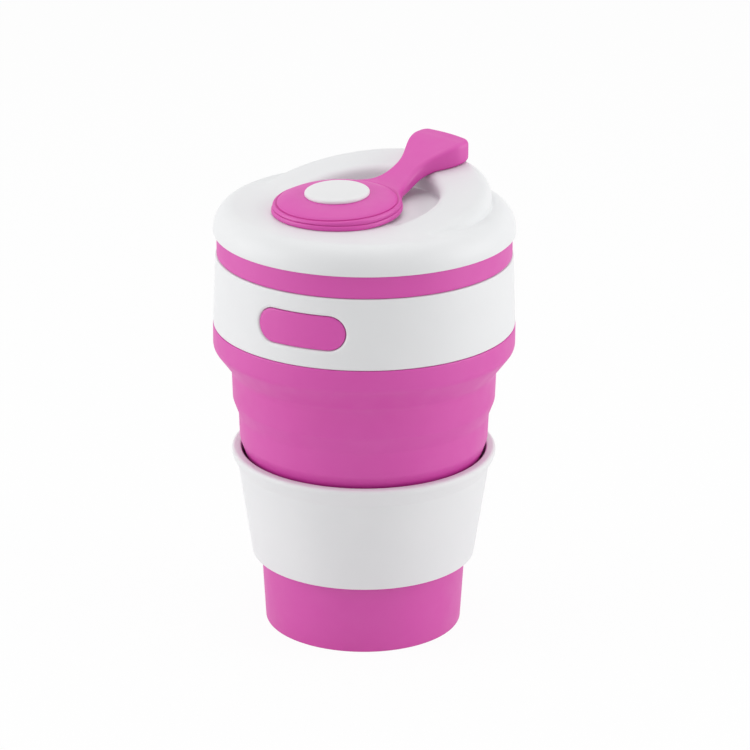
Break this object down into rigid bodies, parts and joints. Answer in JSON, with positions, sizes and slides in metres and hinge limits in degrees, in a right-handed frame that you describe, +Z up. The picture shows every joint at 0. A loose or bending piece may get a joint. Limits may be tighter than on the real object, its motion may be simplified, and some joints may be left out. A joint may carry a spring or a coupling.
{
  "type": "collapsible travel cup",
  "caption": "Collapsible silicone travel cup with a stiff collar, a hand sleeve and a press-in lid whose strap stopper closes the drink hole.",
  "frame": {"origin": "middle of the foot, on the surface that the cup stands on", "axes": "+Z up along the cup's axis, +Y towards the drink hole, +X to the right when looking along +Y"},
  "size_m": [0.093, 0.093, 0.1506],
  "materials": {
    "cup_silicone": "matte pink silicone",
    "stopper_silicone": "matte pink silicone",
    "collar_plastic": "satin white plastic",
    "sleeve_plastic": "satin white plastic",
    "lid_plastic": "satin white plastic",
    "button_plastic": "satin white plastic"
  },
  "bodies": {
    "lower": {"cup_base": "cup_silicone"},
    "ring": {"fold_ring": "cup_silicone", "low_fold": "cup_silicone"},
    "upper": {"cup_rim": "cup_silicone", "collar": "collar_plastic", "top_fold": "cup_silicone"},
    "sleeve": {"sleeve": "sleeve_plastic"},
    "lid": {"lid": "lid_plastic", "lid_button": "button_plastic", "stopper_disc": "stopper_silicone", "stopper_strap": "stopper_silicone"},
    "stopper": {"stopper_tab": "stopper_silicone"}
  },
  "joints": [
    {"name": "collapse", "type": "slide", "parent": "lower", "child": "ring", "axis": [0, 0, -1], "range_m": [0, 0.0255], "deforming": ["low_fold"]},
    {"name": "top_slide", "type": "slide", "parent": "ring", "child": "upper", "axis": [0, 0, -1], "range_m": [0, 0.015], "deforming": ["top_fold"]},
    {"name": "sleeve_slide", "type": "slide", "parent": "lower", "child": "sleeve", "axis": [0, 0, -1], "range_m": [0, 0.0225]},
    {"name": "lid_lift", "type": "slide", "parent": "upper", "child": "lid", "axis": [0, 0, 1], "range_m": [0, 0.06]},
    {"name": "stopper_open", "type": "hinge", "parent": "lid", "child": "stopper", "pos_m": [0, 0.014, 0.138], "axis": [1, 0, 0], "range_deg": [0, 105], "stiffness_Nm_per_rad": 0.01, "deforming": ["stopper_strap"]}
  ],
  "couplings": [
    {"joint": "top_slide", "follows": "collapse", "ratio": 0.588},
    {"joint": "sleeve_slide", "follows": "collapse", "ratio": 0.88}
  ]
}
